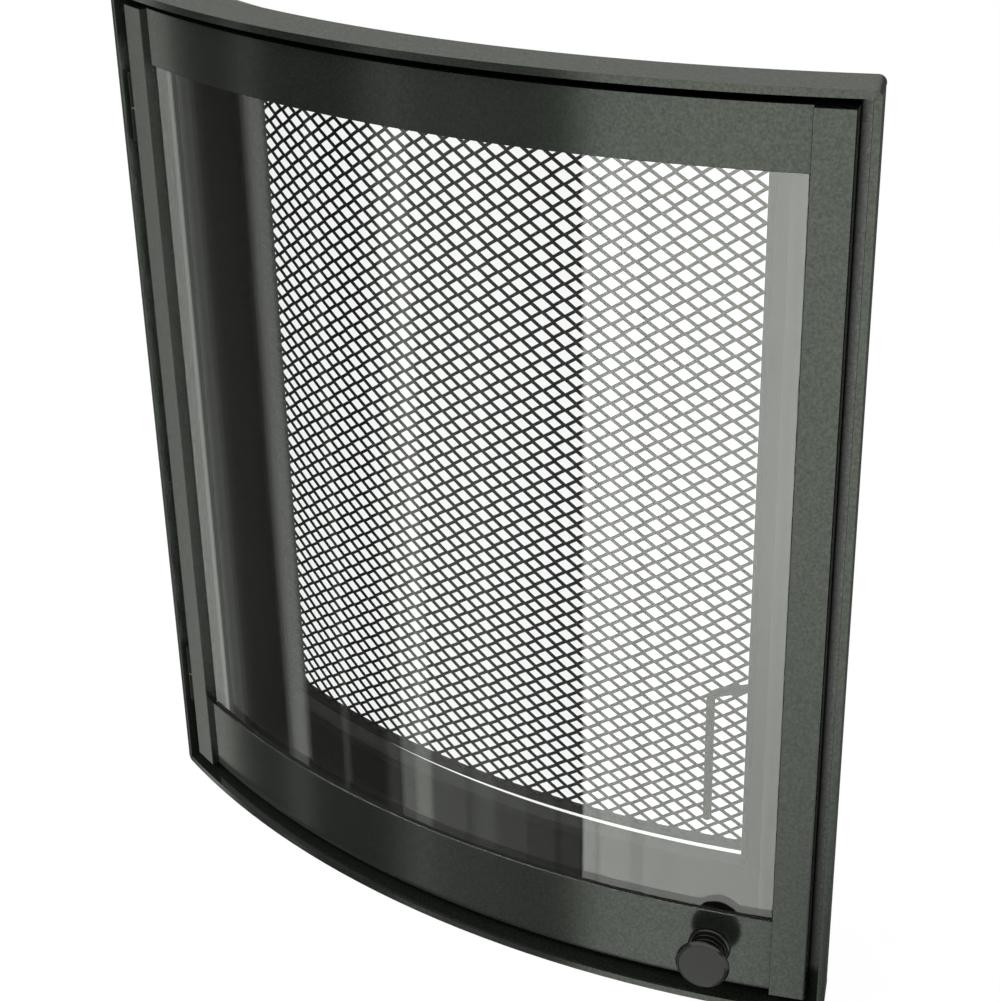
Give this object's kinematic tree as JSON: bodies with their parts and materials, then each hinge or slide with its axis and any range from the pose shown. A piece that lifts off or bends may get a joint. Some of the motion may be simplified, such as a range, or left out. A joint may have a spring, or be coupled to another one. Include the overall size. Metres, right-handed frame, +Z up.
{
  "type": "fireplace glass door",
  "caption": "Bowed glass door for a wood stove: hinged glazed leaf in a curved surround, quarter-turn latch knob, rope seals and a lift-off mesh spark screen behind the glass.",
  "frame": {"origin": "middle of the four bolt holes, on the rear mounting plane", "axes": "+Z up, +X to the right seen from the room, -Y towards the room"},
  "size_m": [0.596, 0.1349, 0.649],
  "materials": {
    "metallic_paint": "satin, dark greenish grey with a fine metallic grain",
    "black_paint": "matte heat-resistant black",
    "ceramic_glass": "clear, polished",
    "seal_fibre": "braided glass fibre, black",
    "knob_black": "satin black",
    "bronze": "plain turned bronze",
    "screen_black": "matte heat-resistant black",
    "zinc_steel": "zinc plated"
  },
  "bodies": {
    "surround": {"surround_top": "metallic_paint", "surround_bottom": "metallic_paint", "surround_left": "metallic_paint", "surround_right": "metallic_paint", "seal_land_top": "metallic_paint", "seal_land_bottom": "metallic_paint", "seal_land_left": "metallic_paint", "seal_land_right": "metallic_paint", "throat_top": "black_paint", "throat_bottom": "black_paint", "throat_left": "black_paint", "throat_right": "black_paint", "fascia_top": "black_paint", "fascia_bottom": "black_paint", "fascia_left": "black_paint", "fascia_right": "black_paint", "mount_flange_left": "black_paint", "mount_flange_right": "black_paint", "screen_sill": "black_paint", "screen_pegs": "zinc_steel", "latch_keeper": "zinc_steel", "hinge_base_upper": "black_paint", "hinge_base_lower": "black_paint", "hinge_pin_upper": "zinc_steel", "hinge_pin_lower": "zinc_steel", "hinge_washers": "bronze"},
    "leaf": {"rail_top": "metallic_paint", "rail_bottom": "metallic_paint", "stile_left": "metallic_paint", "stile_right": "metallic_paint", "backing_top": "black_paint", "backing_bottom": "black_paint", "glass": "ceramic_glass", "glass_tape_top": "seal_fibre", "glass_tape_bottom": "seal_fibre", "retainer_top": "black_paint", "retainer_bottom": "black_paint", "retainer_left": "black_paint", "retainer_right": "black_paint", "retainer_screws": "zinc_steel", "rope_top": "seal_fibre", "rope_bottom": "seal_fibre", "rope_left": "seal_fibre", "rope_right": "seal_fibre", "hinge_knuckle_upper": "black_paint", "hinge_knuckle_lower": "black_paint", "latch_bush": "bronze", "knob_rose": "knob_black"},
    "latch": {"knob_head": "knob_black", "knob_neck": "knob_black", "latch_shaft": "zinc_steel", "latch_sleeve": "zinc_steel", "latch_cam": "zinc_steel", "latch_nut": "zinc_steel"},
    "screen": {"screen_mesh": "screen_black", "screen_bar_top": "screen_black", "screen_bar_bottom": "screen_black", "screen_sides": "screen_black", "screen_handle": "screen_black", "screen_hangers": "screen_black"}
  },
  "joints": [
    {"name": "door_swing", "type": "hinge", "parent": "surround", "child": "leaf", "pos_m": [-0.28616, -0.07379, 0], "axis": [0, 0, -1], "range_deg": [0, 105]},
    {"name": "latch_turn", "type": "hinge", "parent": "leaf", "child": "latch", "pos_m": [0.21735, -0.0939, -0.284], "axis": [0.2804, -0.9599, 0], "range_deg": [0, 90]},
    {"name": "screen_lift", "type": "slide", "parent": "surround", "child": "screen", "axis": [0, 0, 1], "range_m": [0, 0.012]}
  ]
}
